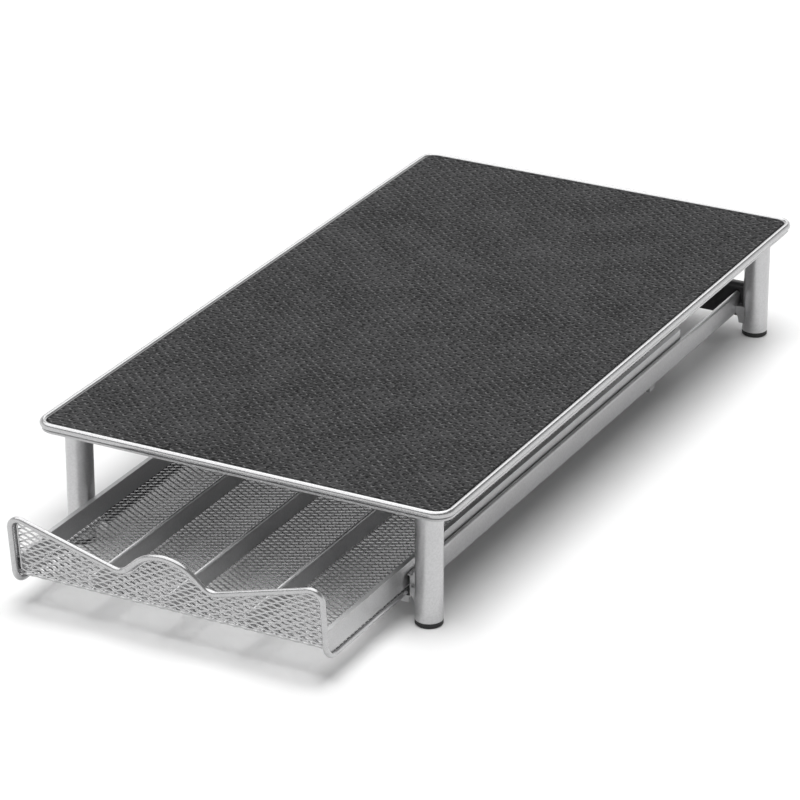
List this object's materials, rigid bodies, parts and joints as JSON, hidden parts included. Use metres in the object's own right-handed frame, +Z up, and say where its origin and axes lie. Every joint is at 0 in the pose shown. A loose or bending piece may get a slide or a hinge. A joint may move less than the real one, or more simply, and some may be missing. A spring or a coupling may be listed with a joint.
{
  "type": "coffee pod drawer",
  "caption": "Low coffee machine stand with a padded top, tube legs and a shallow mesh drawer with a wavy wire front that slides out on channel guides.",
  "frame": {"origin": "on the table, under the centre of the whole object's box with its drawer part way out", "axes": "+X right, +Y rear (the drawer pulls out towards -Y), +Z up"},
  "size_m": [0.2218, 0.4764, 0.0653],
  "materials": {
    "mat_foam": "matt foam rubber, embossed with short staggered dashes",
    "foot_rubber": "matt moulded rubber",
    "zinc_steel": "bright zinc plate",
    "dark_paint": "satin black paint",
    "leg_paint": "satin silver paint",
    "sheet_paint": "satin silver paint",
    "wire_paint": "satin silver paint",
    "mesh_paint": "satin silver paint"
  },
  "bodies": {
    "stand": {"top_panel": "sheet_paint", "rim_wire": "wire_paint", "top_mat": "mat_foam", "leg_front_left": "leg_paint", "leg_front_right": "leg_paint", "leg_rear_left": "leg_paint", "leg_rear_right": "leg_paint", "foot_front_left": "foot_rubber", "foot_front_right": "foot_rubber", "foot_rear_left": "foot_rubber", "foot_rear_right": "foot_rubber", "leg_studs": "zinc_steel", "leg_inserts": "zinc_steel", "guide_left": "sheet_paint", "guide_right": "sheet_paint", "bracket_front_left": "sheet_paint", "bracket_front_right": "sheet_paint", "bracket_rear_left": "sheet_paint", "bracket_rear_right": "sheet_paint", "rear_plate": "dark_paint"},
    "drawer": {"front_wire": "wire_paint", "side_wire_left": "wire_paint", "side_wire_right": "wire_paint", "rear_wire": "wire_paint", "front_mesh": "mesh_paint", "floor_mesh": "mesh_paint", "side_strip_left": "sheet_paint", "side_strip_right": "sheet_paint", "rear_strip": "sheet_paint", "divider_left": "sheet_paint", "divider_centre": "sheet_paint", "divider_right": "sheet_paint", "keeper_hook_left": "sheet_paint", "keeper_hook_right": "sheet_paint"}
  },
  "joints": [
    {"name": "drawer_slide", "type": "slide", "parent": "stand", "child": "drawer", "axis": [0, -1, 0], "range_m": [-0.0667, 0.2675]}
  ]
}
